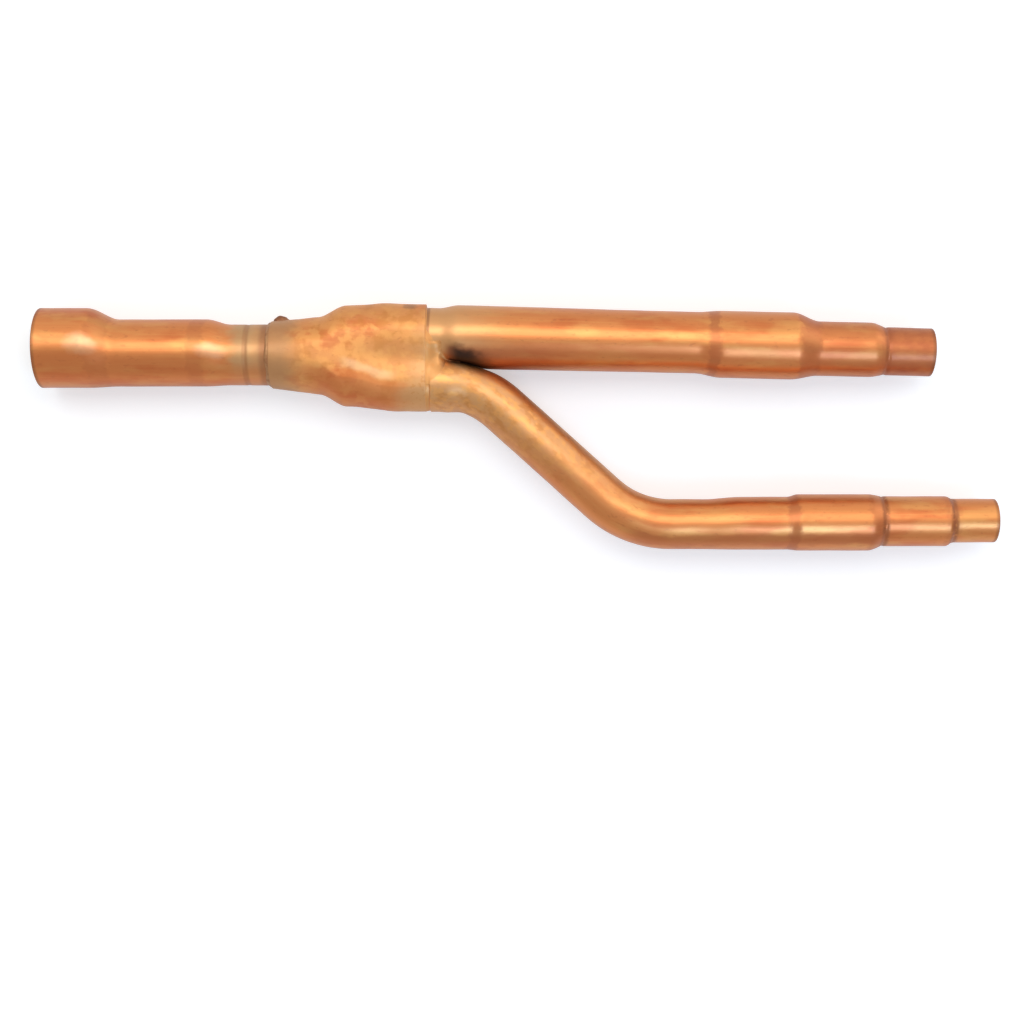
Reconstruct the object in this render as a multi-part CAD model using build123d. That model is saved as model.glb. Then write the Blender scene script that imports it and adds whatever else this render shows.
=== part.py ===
from build123d import *
import os
from collections import namedtuple
from math import cos, pi, radians, sin, sqrt, tan

# A brazed branch joint of copper tube for refrigerant lines, lying on its side.
# The origin is the centre of the inlet mouth, the inlet runs along +X,
# and the branch tube leaves toward -Y. All sizes are in millimetres.

# Tubes that the sockets take, by outside diameter
TUBE_38 = 38.1
TUBE_32 = 31.75
TUBE_28 = 28.6
TUBE_25 = 25.4
TUBE_22 = 22.2
SOCKET_CLEARANCE = 0.1

# Walls
TUBE_WALL = 1.0
BODY_WALL = 1.8
RIM_ROUND = 0.3

# Inlet stub, a bell and two smaller sockets that share nearly one lower edge
BELL_LENGTH = 23.2
BELL_SHOULDER = 16.7
MIDDLE_LENGTH = 43.9
MIDDLE_SHOULDER = 12.2
SPIGOT_LENGTH = 34.4
STUB_SEAT = 14.0
MIDDLE_DROP = 2.5
SPIGOT_DROP = 3.5

# Pressed body
BODY_LENGTH = 78.0
COLLAR_RIM = 1.4
COLLAR_FLARE = 1.0
COLLAR_LENGTH = 23.0
SHOULDER_LENGTH = 14.6
COLLAR_SWELL = 2.4
CHAMBER_FLATNESS = 0.42
CHAMBER_RUN_INSET = 0.5
CHAMBER_BRANCH_INSET = 2.6
OUTLET_SEAT = 15.0
NECK_CLEARANCE = 0.15
OUTLET_SPACING = 23.55
RUN_RISE = 9.5
WAIST_DIP = 0.08
CROWN_SHARE = 0.15
CROWN_DENSITY = 0.6
OUTLINE_POINTS = 36

# Run tube, lengths along its own axis
RUN_NECK_OD = 28.6
RUN_START_OD = 32.0
RUN_END_OD = 31.0
RUN_LEAN = 1.4
RUN_NECK_OUT = 9.0
RUN_NECK_SHOULDER = 7.0
RUN_PLAIN_LENGTH = 119.8
RUN_FLARE = 13.2
RUN_BIG_LENGTH = 35.3
RUN_BIG_SHOULDER = 13.7
RUN_MIDDLE_LENGTH = 25.7
RUN_MIDDLE_SHOULDER = 8.1
RUN_END_LENGTH = 22.7
RUN_BIG_DROP = 0.5
RUN_MIDDLE_DROP = 1.45
RUN_END_DROP = 2.0

# Branch tube
BRANCH_OD = 25.4
BRANCH_FLARE_OD = 28.6
BRANCH_FLARE_START = 0.6
BRANCH_FLARE_RISE = 1.8
BRANCH_FLARE_LENGTH = 8.0
BRANCH_FLARE_FADE = 14.0
BRANCH_FLARE_DROP = 0.4
BRANCH_FLARE_TUCK = 0.2
BRANCH_BEND_RADIUS = 52.0
BRANCH_BEND_ANGLE = 42.0
BRANCH_OFFSET = 71.4
BRANCH_STRAIGHT_IN = 4.1
BRANCH_STRAIGHT_OUT = 22.5
BRANCH_SWELL_OD = 26.8
BRANCH_SWELL_SHOULDER = 6.0
BRANCH_SWELL_LENGTH = 30.0
BRANCH_BIG_OD = 28.6
BRANCH_BIG_RISE = 5.4
BRANCH_BIG_LENGTH = 35.3
BRANCH_BIG_SHOULDER = 7.6
BRANCH_MIDDLE_LENGTH = 31.0
BRANCH_MIDDLE_SHOULDER = 5.0
BRANCH_END_LENGTH = 20.2
BRANCH_SWELL_LIFT = 0.5
BRANCH_BIG_LIFT = 0.9
BRANCH_MIDDLE_LIFT = 1.5
BRANCH_END_LIFT = 1.8

# Rolled grooves at the depth stops
GROOVE_DEPTH = 0.45
GROOVE_WIDTH = 1.8

# Pinch between the two outlet tubes
PINCH_GAP = 0.2
PINCH_RADIUS = 80.0
PINCH_SWEEP = 30.0

# Braze metal
FILLET_LEG = 1.2
CROTCH_DEPTH = 5.0
CROTCH_REACH = 12.0
CROTCH_HALF_WIDTH = 7.5
VALLEY_DIP = 0.5
BRAZE_CLEARANCE = 0.05
DRIP_LENGTH = 11.0
DRIP_WIDTH = 3.2
DRIP_HEIGHT = 3.6
DRIP_START = 1.5

# Room that a cutting solid reaches past what it cuts
OVERSHOOT = 1.0
REACH = 80.0

# Where the sections of one eased stretch are set, as shares of its length
SECTION_SHARES = (0, 0.25, 0.5, 0.75, 1)

Step = namedtuple("Step", "start end y radius")
Station = namedtuple("Station", "x run_y run_r branch_y branch_r waist")


def socket_radius(tube_od):
    """Outer radius of a socket that takes a tube of this diameter."""
    return (tube_od + SOCKET_CLEARANCE) / 2 + TUBE_WALL


# Places that follow from the sizes
collar_x = BELL_LENGTH + BELL_SHOULDER + MIDDLE_LENGTH + MIDDLE_SHOULDER + SPIGOT_LENGTH - STUB_SEAT
collar_y = -SPIGOT_DROP
mouth_x = collar_x + BODY_LENGTH
run_y = collar_y + RUN_RISE
branch_y = run_y - OUTLET_SPACING
spigot_radius = socket_radius(TUBE_28)
run_neck_radius = RUN_NECK_OD / 2
branch_radius = BRANCH_OD / 2
run_share = (OUTLET_SPACING**2 + run_neck_radius**2 - branch_radius**2) / (2 * OUTLET_SPACING)
pinch_y = run_y - run_share
pinch_x = mouth_x + BRANCH_STRAIGHT_IN
run_frame = Pos(mouth_x, run_y, 0) * Rot(0, 0, -RUN_LEAN)


def disc(x, y, radius):
    """A round face square to X."""
    return Plane(origin=(x, y, 0), x_dir=(0, 1, 0), z_dir=(1, 0, 0)) * Circle(radius)


def barrel(step, inset):
    """The straight part of one step."""
    return extrude(disc(step.start, step.y, step.radius - inset), step.end - step.start)


def ease(share):
    """Rises from 0 to 1 with a level start and end."""
    return share * share * (3 - 2 * share)


def shoulder(first, second, inset):
    """The smooth run from one step to the next, which may lie off its centre."""
    discs = []
    for share in SECTION_SHARES:
        x = first.end + (second.start - first.end) * share
        y = first.y + (second.y - first.y) * ease(share)
        radius = first.radius + (second.radius - first.radius) * ease(share)
        discs.append(disc(x, y, radius - inset))
    return loft(discs)


def stepped_core(steps, inset=0.0):
    """A solid bar with the outline of a stepped tube, made smaller all round by inset."""
    core = barrel(steps[0], inset)
    for first, second in zip(steps, steps[1:]):
        core += shoulder(first, second, inset)
        core += barrel(second, inset)
    return core


def groove_ring(x, y, radius):
    """A ring round the X axis whose section dips GROOVE_DEPTH below the radius."""
    section_radius = (GROOVE_WIDTH**2 / 4 + GROOVE_DEPTH**2) / (2 * GROOVE_DEPTH)
    lift = section_radius - GROOVE_DEPTH
    return Pos(x, y, 0) * Rot(0, 90, 0) * Torus(radius + lift, section_radius)


def chain(first, rows):
    """Steps that follow each other, each row giving shoulder, length, y and radius."""
    steps = [first]
    for shoulder_length, length, y, radius in rows:
        start = steps[-1].end + shoulder_length
        steps.append(Step(start, start + length, y, radius))
    return steps


def inlet_steps():
    """The bell and the two sockets behind it."""
    bell = Step(0, BELL_LENGTH, 0, socket_radius(TUBE_38))
    return chain(bell, [
        (BELL_SHOULDER, MIDDLE_LENGTH, -MIDDLE_DROP, socket_radius(TUBE_32)),
        (MIDDLE_SHOULDER, SPIGOT_LENGTH, -SPIGOT_DROP, spigot_radius),
    ])


def inlet_stub():
    """The stepped inlet tube, open at both ends."""
    steps = inlet_steps()
    lumen = stepped_core(steps, TUBE_WALL)
    lumen += extrude(disc(-OVERSHOOT, 0, steps[0].radius - TUBE_WALL), 2 * OVERSHOOT)
    lumen += extrude(disc(steps[-1].end - OVERSHOOT, collar_y, spigot_radius - TUBE_WALL), 2 * OVERSHOOT)
    tube = stepped_core(steps) - lumen
    return round_rim(tube, Axis.X, 0)


def round_rim(tube, axis, which):
    """Rounds the outer edge of the mouth that lies first or last along the axis."""
    end_face = tube.faces().filter_by(GeomType.PLANE).sort_by(axis)[which]
    return fillet(end_face.outer_wire().edges(), RIM_ROUND)


def blend(first, second, share):
    """The value a share of the way from first to second."""
    return first + (second - first) * share


def lobed_face(station, inset):
    """A face square to X with a run lobe and a branch lobe, drawn by the direction of its normal.

    Each lobe is an arc about its own centre. Over the crown between them the centre and the
    radius glide from one lobe to the other, and the waist dips the crown.
    """
    points = []
    spacing = station.run_y - station.branch_y
    tilt = (station.branch_r - station.run_r) / spacing if spacing > 0 else 0
    for index in range(OUTLINE_POINTS):
        turn = 2 * pi * index / OUTLINE_POINTS
        angle = turn + CROWN_DENSITY * sin(2 * turn) / 2
        glide = max(-1, min(1, (cos(angle) - tilt) / CROWN_SHARE))
        lean = (3 * glide - glide**3) / 2
        radius = blend(station.branch_r, station.run_r, (1 + lean) / 2) - inset
        centre = blend(station.branch_y, station.run_y, (1 + lean) / 2)
        dip = 1 - station.waist * (1 - lean**2)**4
        points.append((centre + radius * cos(angle), radius * sin(angle) * dip))
    square = Plane(origin=(station.x, 0, 0), x_dir=(0, 1, 0), z_dir=(1, 0, 0))
    return square * make_face(Spline(*points, periodic=True))


def body_stations():
    """The body's sections: collar rim, collar end, chamber start, outlet seat and mouth."""
    rim_r = spigot_radius + NECK_CLEARANCE + COLLAR_RIM
    collar_r = rim_r + COLLAR_FLARE
    run_r = run_neck_radius + NECK_CLEARANCE + BODY_WALL
    branch_r = branch_radius + NECK_CLEARANCE + BODY_WALL
    collar_end = collar_x + COLLAR_LENGTH
    chamber_x = collar_end + SHOULDER_LENGTH
    seat_x = mouth_x - OUTLET_SEAT
    seat_y = run_y + OUTLET_SEAT * tan(radians(RUN_LEAN))
    chamber_run_r = blend(collar_r, run_r, CHAMBER_FLATNESS)
    chamber_branch_r = blend(collar_r, branch_r, CHAMBER_FLATNESS)
    chamber_run_y = run_y + run_r - CHAMBER_RUN_INSET - chamber_run_r
    chamber_branch_y = branch_y - branch_r + CHAMBER_BRANCH_INSET + chamber_branch_r
    half_swell = COLLAR_SWELL / 2
    return [
        Station(collar_x, collar_y, rim_r, collar_y, rim_r, 0),
        Station(collar_end, collar_y + half_swell, collar_r, collar_y - half_swell, collar_r, 0),
        Station(chamber_x, chamber_run_y, chamber_run_r, chamber_branch_y, chamber_branch_r, 0),
        Station(seat_x, seat_y, run_r, branch_y, branch_r, WAIST_DIP),
        Station(mouth_x, run_y, run_r, branch_y, branch_r, WAIST_DIP),
    ]


def between(first, second, share):
    """The section a share of the way between two sections, moving off gently from both."""
    eased = [blend(start, end, ease(share)) for start, end in zip(first, second)]
    return Station(blend(first.x, second.x, share), *eased[1:])


def span(first, second, inset):
    """The solid between two of the body's sections."""
    return loft([lobed_face(between(first, second, share), inset) for share in SECTION_SHARES])


def body_outer():
    """The body's outside, round at the collar and lobed at the outlet."""
    rim, collar, chamber, seat, mouth = body_stations()
    solid = loft([lobed_face(rim, 0), lobed_face(collar, 0)])
    solid += span(collar, chamber, 0)
    solid += span(chamber, seat, 0)
    return solid + loft([lobed_face(seat, 0), lobed_face(mouth, 0)])


def along(first, second, x):
    """The section at x on the straight run through two sections, also past either of them."""
    share = (x - first.x) / (second.x - first.x)
    return Station(*[blend(start, end, share) for start, end in zip(first, second)])


def body_lumen():
    """The body's inside: a round seat for the stub, the chamber, a lobed seat for the outlets."""
    collar, chamber, seat, mouth = body_stations()[1:]
    seat_r = spigot_radius + NECK_CLEARANCE
    seat_start = Station(collar_x - OVERSHOOT, collar_y, seat_r, collar_y, seat_r, 0)
    seat_end = seat_start._replace(x=collar_x + STUB_SEAT)
    past_mouth = along(seat, mouth, mouth_x + OVERSHOOT)
    solid = span(collar, chamber, BODY_WALL)
    solid += span(chamber, seat, BODY_WALL)
    solid += loft([lobed_face(seat, BODY_WALL), lobed_face(past_mouth, BODY_WALL)])
    solid += loft([lobed_face(seat_end, 0), lobed_face(collar, BODY_WALL)])
    return solid + loft([lobed_face(seat_start, 0), lobed_face(seat_end, 0)])


def y_body():
    """The pressed body as one shell."""
    return body_outer() - body_lumen()


def pinch_side(side, inset):
    """All that lies on one side of the pinch curve between the outlet tubes.

    The curve is straight along the necks, then an arc that falls away with the branch, then
    straight again. side is 1 for the run and -1 for the branch, inset the distance kept from it.
    """
    y = pinch_y + side * inset
    radius = PINCH_RADIUS + side * inset
    end = Vector(
        pinch_x + radius * sin(radians(PINCH_SWEEP)),
        y - radius * (1 - cos(radians(PINCH_SWEEP))),
    )
    half = radians(PINCH_SWEEP / 2)
    middle = Vector(pinch_x + radius * sin(half), y - radius * (1 - cos(half)))
    start_x = mouth_x - OUTLET_SEAT - REACH / 2
    far_x = mouth_x + BRANCH_OFFSET / tan(radians(BRANCH_BEND_ANGLE)) + run_length() + REACH
    far_y = y + side * (OUTLET_SPACING + BRANCH_OFFSET + REACH)
    outline = [
        Line((start_x, y), (pinch_x, y)),
        ThreePointArc((pinch_x, y), middle, end),
        Line(end, (far_x, end.Y)),
        Line((far_x, end.Y), (far_x, far_y)),
        Line((far_x, far_y), (start_x, far_y)),
        Line((start_x, far_y), (start_x, y)),
    ]
    return extrude(make_face(outline), REACH / 2, both=True)


def run_length():
    """Length of the run tube past the body's mouth."""
    return run_steps()[-1].end


def run_steps():
    """The run tube's steps along its own axis, measured from the body's mouth."""
    neck = Step(-OUTLET_SEAT, RUN_NECK_OUT, 0, run_neck_radius)
    return chain(neck, [
        (RUN_NECK_SHOULDER, 0, 0, RUN_START_OD / 2),
        (RUN_PLAIN_LENGTH, 0, 0, RUN_END_OD / 2),
        (RUN_FLARE, RUN_BIG_LENGTH, -RUN_BIG_DROP, socket_radius(TUBE_32)),
        (RUN_BIG_SHOULDER, RUN_MIDDLE_LENGTH, -RUN_MIDDLE_DROP, socket_radius(TUBE_25)),
        (RUN_MIDDLE_SHOULDER, RUN_END_LENGTH, -RUN_END_DROP, socket_radius(TUBE_22)),
    ])


def run_core(inset):
    """The run tube as a solid bar, made smaller all round by inset."""
    steps = run_steps()
    neck, start, end = steps[0], steps[1], steps[2]
    core = barrel(neck, inset) + shoulder(neck, start, inset)
    core += loft([disc(start.end, 0, start.radius - inset), disc(end.start, 0, end.radius - inset)])
    core += shoulder(end, steps[3], inset) + barrel(steps[3], inset)
    core += shoulder(steps[3], steps[4], inset) + barrel(steps[4], inset)
    core += shoulder(steps[4], steps[5], inset) + barrel(steps[5], inset)
    return core


def run_bar():
    """The run tube's outside as a solid bar, pinched flat on the branch side of its neck."""
    last = run_steps()[-1]
    bar = run_core(0) - groove_ring(last.start + GROOVE_WIDTH / 2, last.y, last.radius)
    return (run_frame * bar) & pinch_side(1, PINCH_GAP / 2)


def run_tube(bar):
    """The run tube: its bar, bored out along the same steps and the same flat."""
    last = run_steps()[-1]
    lumen = run_core(TUBE_WALL)
    lumen += extrude(disc(last.end - OVERSHOOT, last.y, last.radius - TUBE_WALL), 2 * OVERSHOOT)
    neck_bore = disc(-OUTLET_SEAT - OVERSHOOT, 0, run_neck_radius - TUBE_WALL)
    lumen += extrude(neck_bore, 2 * OVERSHOOT)
    lumen -= groove_ring(last.start + GROOVE_WIDTH / 2, last.y, last.radius - TUBE_WALL)
    lumen = (run_frame * lumen) & pinch_side(1, PINCH_GAP / 2 + TUBE_WALL)
    return round_rim(bar - lumen, Axis.X, -1)


def branch_path():
    """The branch tube's centre line, from its seat in the body to its first step."""
    angle = radians(BRANCH_BEND_ANGLE)
    turn_x = BRANCH_BEND_RADIUS * sin(angle)
    turn_y = BRANCH_BEND_RADIUS * (1 - cos(angle))
    slant = (BRANCH_OFFSET - 2 * turn_y) / sin(angle)
    half_x = BRANCH_BEND_RADIUS * sin(angle / 2)
    half_y = BRANCH_BEND_RADIUS * (1 - cos(angle / 2))
    start = Vector(mouth_x - OUTLET_SEAT, branch_y)
    bend_in = Vector(mouth_x + BRANCH_STRAIGHT_IN, branch_y)
    bend_out = bend_in + Vector(turn_x, -turn_y)
    second_in = bend_out + Vector(slant * cos(angle), -slant * sin(angle))
    second_out = second_in + Vector(turn_x, -turn_y)
    end = second_out + Vector(BRANCH_STRAIGHT_OUT, 0)
    first_middle = bend_in + Vector(half_x, -half_y)
    second_middle = second_out - Vector(half_x, -half_y)
    edges = [
        Line(start, bend_in),
        ThreePointArc(bend_in, first_middle, bend_out),
        Line(bend_out, second_in),
        ThreePointArc(second_in, second_middle, second_out),
        Line(second_out, end),
    ]
    return Wire(edges), end


def branch_steps(end):
    """The branch tube's steps past its bends."""
    plain = Step(end.X, end.X, end.Y, branch_radius)
    return chain(plain, [
        (BRANCH_SWELL_SHOULDER, BRANCH_SWELL_LENGTH, end.Y + BRANCH_SWELL_LIFT, BRANCH_SWELL_OD / 2),
        (BRANCH_BIG_RISE, BRANCH_BIG_LENGTH, end.Y + BRANCH_BIG_LIFT, BRANCH_BIG_OD / 2),
        (BRANCH_BIG_SHOULDER, BRANCH_MIDDLE_LENGTH, end.Y + BRANCH_MIDDLE_LIFT, TUBE_25 / 2),
        (BRANCH_MIDDLE_SHOULDER, BRANCH_END_LENGTH, end.Y + BRANCH_END_LIFT, TUBE_22 / 2),
    ])


def branch_flare(inset):
    """The swelling just past the body's mouth, which sinks back into the tube in the first bend."""
    neck_end = mouth_x + BRANCH_FLARE_START
    neck = Step(neck_end - BRANCH_FLARE_START, neck_end, branch_y, branch_radius - BRANCH_FLARE_TUCK)
    fade_x = neck_end + BRANCH_FLARE_RISE + BRANCH_FLARE_LENGTH + BRANCH_FLARE_FADE
    drop = BRANCH_BEND_RADIUS - sqrt(BRANCH_BEND_RADIUS**2 - (fade_x - mouth_x - BRANCH_STRAIGHT_IN) ** 2)
    flare, fade = chain(neck, [
        (BRANCH_FLARE_RISE, BRANCH_FLARE_LENGTH, branch_y - BRANCH_FLARE_DROP, BRANCH_FLARE_OD / 2),
        (BRANCH_FLARE_FADE, 0, branch_y - drop, branch_radius - BRANCH_FLARE_TUCK),
    ])[1:]
    return shoulder(neck, flare, inset) + barrel(flare, inset) + shoulder(flare, fade, inset)


def branch_core(inset):
    """The branch tube as a solid bar, made smaller all round by inset."""
    path, end = branch_path()
    section = disc(mouth_x - OUTLET_SEAT, branch_y, branch_radius - inset)
    core = sweep(section, path) + branch_flare(inset)
    steps = branch_steps(end)
    for first, second in zip(steps, steps[1:]):
        core += shoulder(first, second, inset)
        core += barrel(second, inset)
    return core


def branch_bar():
    """The branch tube's outside as a solid bar, pinched flat on the run side of its neck."""
    middle, last = branch_steps(branch_path()[1])[-2:]
    bar = branch_core(0)
    bar -= groove_ring(middle.start - GROOVE_WIDTH / 2, middle.y, middle.radius)
    bar -= groove_ring(last.start - GROOVE_WIDTH / 2, last.y, last.radius)
    return bar & pinch_side(-1, PINCH_GAP / 2)


def branch_tube(bar):
    """The branch tube: its bar, bored out along the same path, steps and flat."""
    last = branch_steps(branch_path()[1])[-1]
    lumen = branch_core(TUBE_WALL)
    lumen += extrude(disc(last.end - OVERSHOOT, last.y, last.radius - TUBE_WALL), 2 * OVERSHOOT)
    neck_x = mouth_x - OUTLET_SEAT - OVERSHOOT
    lumen += extrude(disc(neck_x, branch_y, branch_radius - TUBE_WALL), 2 * OVERSHOOT)
    lumen = lumen & pinch_side(-1, PINCH_GAP / 2 + TUBE_WALL)
    return round_rim(bar - lumen, Axis.X, -1)


def fillet_ring(x, y, radius, leg):
    """A ring of braze metal with a hollow face, in the corner of a tube and a face square to it."""
    corner = Vector(x, y + radius)
    arc_middle = corner + Vector(-leg, leg) * (1 - sqrt(0.5))
    profile = make_face([
        Line(corner, corner + Vector(0, leg)),
        ThreePointArc(corner + Vector(0, leg), arc_middle, corner + Vector(-leg, 0)),
        Line(corner + Vector(-leg, 0), corner),
    ])
    return revolve(profile, Axis((x, y, 0), (1, 0, 0)))


def inlet_braze():
    """The braze ring in front of the collar, with the drip that ran out over it."""
    ring = fillet_ring(collar_x, collar_y, spigot_radius, FILLET_LEG)
    drip_x = collar_x + DRIP_LENGTH / 2 - DRIP_START
    drip_y = collar_y + spigot_radius + COLLAR_RIM
    drop = scale(Sphere(1), (DRIP_LENGTH / 2, DRIP_HEIGHT, DRIP_WIDTH))
    drop = Pos(drip_x, drip_y, 0) * drop
    spigot = extrude(disc(0, collar_y, spigot_radius), mouth_x)
    return ring + (drop - body_outer() - spigot)


def outlet_braze(run_solid, branch_solid):
    """The braze metal in the crotch between the outlet tubes, with a ring round each of them."""
    seat, mouth = body_stations()[-2:]
    plug_end = along(seat, mouth, mouth_x - CROTCH_DEPTH)
    inset = BODY_WALL + BRAZE_CLEARANCE
    plug = loft([lobed_face(plug_end, inset), lobed_face(mouth, inset)])
    valley_x = mouth_x + CROTCH_REACH
    crown = Station(mouth_x, run_y, run_neck_radius, branch_y, branch_radius, 0)
    valley = Station(valley_x, run_y, run_neck_radius, branch_y, branch_radius, VALLEY_DIP)
    plug += loft([lobed_face(crown, 0), lobed_face(valley, 0)])
    window = Pos(mouth_x - CROTCH_DEPTH, pinch_y, 0) * Box(
        CROTCH_DEPTH + CROTCH_REACH, 2 * CROTCH_HALF_WIDTH, REACH, align=(Align.MIN, Align.CENTER, Align.CENTER)
    )
    plug = plug & window
    run_ring = mirror(fillet_ring(-mouth_x, run_y, run_neck_radius, FILLET_LEG), Plane.YZ)
    branch_ring = mirror(fillet_ring(-mouth_x, branch_y, branch_radius, FILLET_LEG), Plane.YZ)
    return (plug + run_ring + branch_ring) - run_solid - branch_solid


os.makedirs("parts", exist_ok=True)
run_outside = run_bar()
branch_outside = branch_bar()
export_step(inlet_stub(), "parts/inlet_stub.step")
export_step(y_body(), "parts/y_body.step")
export_step(run_tube(run_outside), "parts/run_tube.step")
export_step(branch_tube(branch_outside), "parts/branch_tube.step")
export_step(inlet_braze(), "parts/inlet_braze.step")
export_step(outlet_braze(run_outside, branch_outside), "parts/outlet_braze.step")
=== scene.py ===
from collections import namedtuple
from math import cos, pi, radians, sin, tan

import bpy
import numpy as np
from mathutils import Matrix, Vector


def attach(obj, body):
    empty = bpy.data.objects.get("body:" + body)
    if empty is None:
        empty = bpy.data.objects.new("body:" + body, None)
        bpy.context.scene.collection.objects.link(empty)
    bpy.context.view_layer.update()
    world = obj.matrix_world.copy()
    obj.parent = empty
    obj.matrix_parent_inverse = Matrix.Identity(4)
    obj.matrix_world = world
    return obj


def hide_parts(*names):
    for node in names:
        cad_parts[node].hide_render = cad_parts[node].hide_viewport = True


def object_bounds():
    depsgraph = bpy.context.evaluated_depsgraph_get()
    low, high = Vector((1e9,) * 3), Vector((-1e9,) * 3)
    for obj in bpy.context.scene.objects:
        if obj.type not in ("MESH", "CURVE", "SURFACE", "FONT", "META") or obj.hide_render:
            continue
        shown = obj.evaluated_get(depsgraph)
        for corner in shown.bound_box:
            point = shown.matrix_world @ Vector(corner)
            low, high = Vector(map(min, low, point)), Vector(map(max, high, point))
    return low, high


# A brazed branch joint of copper tube, lying on its side on a pale table.
# Shapes are worked out in millimetres and turned into metres when a mesh is made.
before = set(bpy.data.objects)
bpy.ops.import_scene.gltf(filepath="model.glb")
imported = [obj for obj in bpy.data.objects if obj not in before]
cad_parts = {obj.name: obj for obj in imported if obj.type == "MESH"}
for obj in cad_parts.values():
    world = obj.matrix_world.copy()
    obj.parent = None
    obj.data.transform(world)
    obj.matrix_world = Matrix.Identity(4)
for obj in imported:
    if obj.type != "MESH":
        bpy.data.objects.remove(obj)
cad_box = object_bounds()
MM = 0.001

# Walls and lips
TUBE_WALL = 1.0
LIP = 0.45
LIP_SQUARENESS = 0.55

# Pressed body
COLLAR_X = 116.4
COLLAR_Y = -3.5
COLLAR_RADIUS = 16.9
COLLAR_LENGTH = 23.0
COLLAR_FLARE = 1.0
COLLAR_SWELL = 1.2
COLLAR_SAG = 1.0
SHOULDER_LENGTH = 14.6
BODY_LENGTH = 78.0
OUTLET_SEAT = 15.0
NECK_CLEARANCE = 0.15
RIM_WALL = 1.4
BODY_WALL = 1.8
WAIST_DIP = 0.08
CHAMBER_RUN_RADIUS = 17.21
CHAMBER_RUN_Y = 4.54
CHAMBER_BRANCH_RADIUS = 16.54
CHAMBER_BRANCH_Y = -13.07
WAIST_START = 154.0
WAIST_LENGTH = 25.4
CROWN_SHARE = 0.15
CROWN_DENSITY = 0.6
HAMMERING = 0.22

# Outlet tubes where they leave the body
MOUTH_X = COLLAR_X + BODY_LENGTH
RUN_Y = 6.0
RUN_LEAN = radians(1.4)
RUN_NECK_RADIUS = 14.3
BRANCH_Y = -17.55
BRANCH_RADIUS = 12.7
BEND_RADIUS = 52.0
BEND_ANGLE = radians(42)
BRANCH_STRAIGHT_IN = 4.1
SLANT_LENGTH = 66.78
BRANCH_STRAIGHT_OUT = 22.5
FLARE_FADE = 14.0
RUN_LOBE_RADIUS = RUN_NECK_RADIUS + NECK_CLEARANCE + BODY_WALL
BRANCH_LOBE_RADIUS = BRANCH_RADIUS + NECK_CLEARANCE + BODY_WALL

# The line where the two necks are pressed together, level first and then an arc
PINCH_Y = -6.69
PINCH_X = MOUTH_X + BRANCH_STRAIGHT_IN
PINCH_RADIUS = 80.0
PINCH_REACH = 40.0
PINCH_GAP = 0.2

# Braze metal in the valley between the necks and round the mouth, and the collar's drip
FILL_HEIGHT = 11.4
FILL_SAG = 0.055
FILL_REACH = 6.5
FILL_FALL = 15.0
FILL_FALL_LENGTH = 9.0
CROTCH_END = 17.0
CROTCH_HALF_WIDTH = 13.0
FILLET_START = 0.6
FILLET_LENGTH = 7.5
FILLET_HEIGHT = 1.65
THIN_LENGTH = 1.2
THIN_HEIGHT = 0.3
FILM_DEPTH = 0.25
BACK_DEPTH = 1.2
DRIP_X = 4.6
DRIP_HALF_LENGTH = 4.4
DRIP_REACH = 3.2
DRIP_HALF_HEIGHT = 2.6

# Rolled grooves at the depth stops, and the faint line that the torch left round the stub
GROOVE_DEPTH = 0.3
GROOVE_WIDTH = 1.0
HEAT_LINE = 104.8

Step = namedtuple("Step", "start end side radius")


def after(step, shoulder, length, side, radius):
    """The step that follows another one over a shoulder."""
    start = step.end + shoulder
    return Step(start, start + length, side, radius)


bell = Step(0.0, 23.2, 0.0, 20.1)
middle_socket = after(bell, 16.7, 43.9, -2.5, 16.925)
small_socket = after(middle_socket, 12.2, 34.4, COLLAR_Y, 15.35)
STUB_STEPS = [bell, middle_socket, small_socket]

run_neck = Step(-OUTLET_SEAT, 6.0, 0.0, RUN_NECK_RADIUS)
run_start = after(run_neck, 10.0, 0.0, 0.0, 16.0)
run_end = after(run_start, 119.8, 0.0, 0.0, 15.5)
run_big = after(run_end, 13.2, 35.3, -0.5, 16.925)
run_middle = after(run_big, 13.7, 25.7, -1.45, 13.75)
run_last = after(run_middle, 8.1, 22.7, -2.0, 12.15)
RUN_STEPS = [run_neck, run_start, run_end, run_big, run_middle, run_last]

bend_in = OUTLET_SEAT + BRANCH_STRAIGHT_IN
bend_arc = BEND_RADIUS * BEND_ANGLE
bend_back = bend_in + bend_arc + SLANT_LENGTH
branch_neck = Step(0.0, OUTLET_SEAT + 0.6, 0.0, BRANCH_RADIUS)
branch_flare = after(branch_neck, 1.8, 8.0, -0.4, 14.3)
plain_end = bend_back + bend_arc + BRANCH_STRAIGHT_OUT - 7.0
branch_plain = Step(branch_flare.end + FLARE_FADE, plain_end, 0.0, BRANCH_RADIUS)
branch_swell = after(branch_plain, 20.0, 23.0, 0.5, 13.4)
branch_big = after(branch_swell, 5.4, 35.3, 0.9, 14.3)
branch_middle = after(branch_big, 7.6, 31.0, 1.5, 12.7)
branch_last = after(branch_middle, 5.0, 20.2, 1.8, 11.1)
BRANCH_STEPS = [branch_neck, branch_flare, branch_plain, branch_swell]
BRANCH_STEPS += [branch_big, branch_middle, branch_last]

RUN_GROOVE = run_last.start - 0.9
MIDDLE_GROOVE = branch_middle.start - 0.9
LAST_GROOVE = branch_last.start - 2.2


def eased(share):
    """The cubic 3s^2 - 2s^3, held at 0 before 0 and at 1 after 1."""
    share = np.clip(share, 0, 1)
    return share * share * (3 - 2 * share)


def blend(first, second, share):
    """The value a share of the way from first to second."""
    return first + (second - first) * share


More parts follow.
